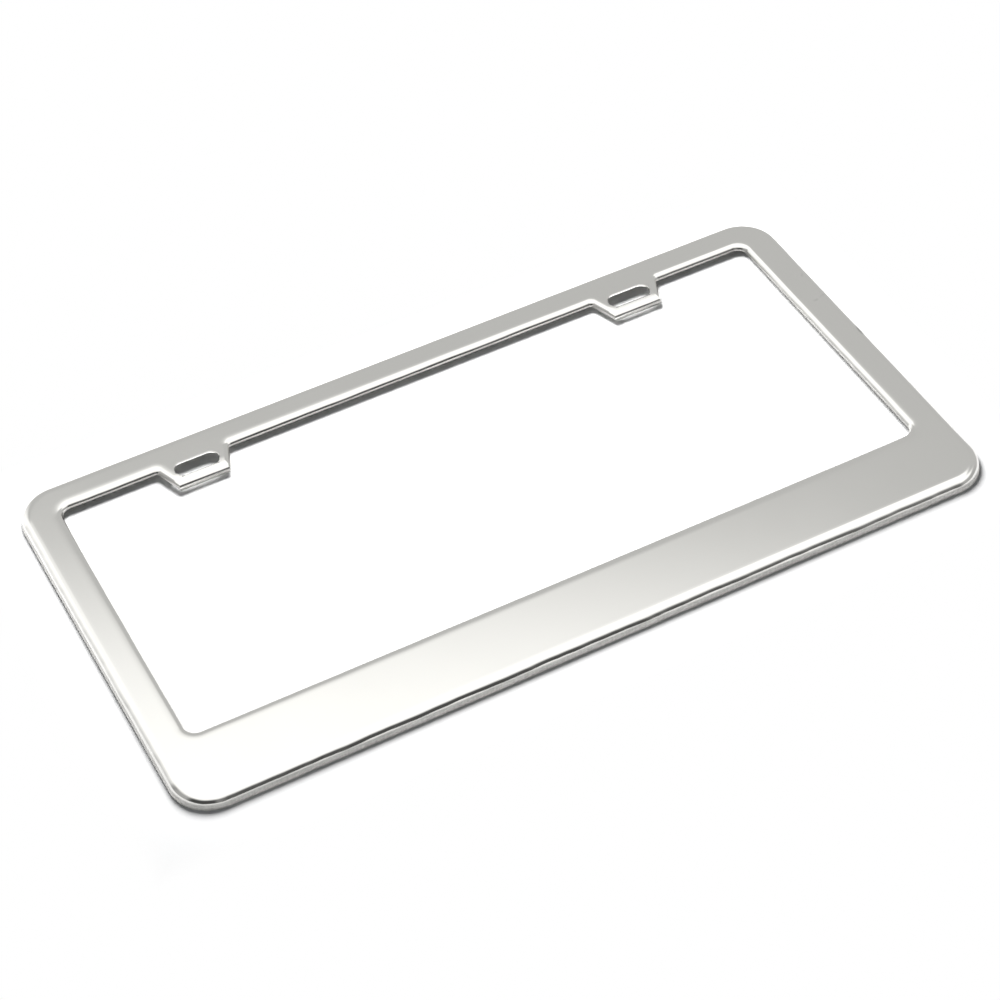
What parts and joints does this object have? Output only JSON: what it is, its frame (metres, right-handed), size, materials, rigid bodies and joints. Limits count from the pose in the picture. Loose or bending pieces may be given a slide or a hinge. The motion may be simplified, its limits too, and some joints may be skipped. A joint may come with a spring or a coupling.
{
  "type": "number plate holder",
  "caption": "Pressed steel frame that fits over a number plate, with edges folded down all round and slotted tabs for the plate's screws.",
  "frame": {"origin": "centre of the outline, in the plane of the outer wall's lower rim, on which the frame lies", "axes": "+X along the long bars, +Y towards the top bar with the screw tabs, +Z out of the polished face"},
  "size_m": [0.31, 0.162, 0.0047],
  "materials": {
    "polished_steel": "polished stainless sheet, faintly grained on the folded walls"
  },
  "bodies": {
    "root": {"plate_frame": "polished_steel"}
  },
  "joints": []
}
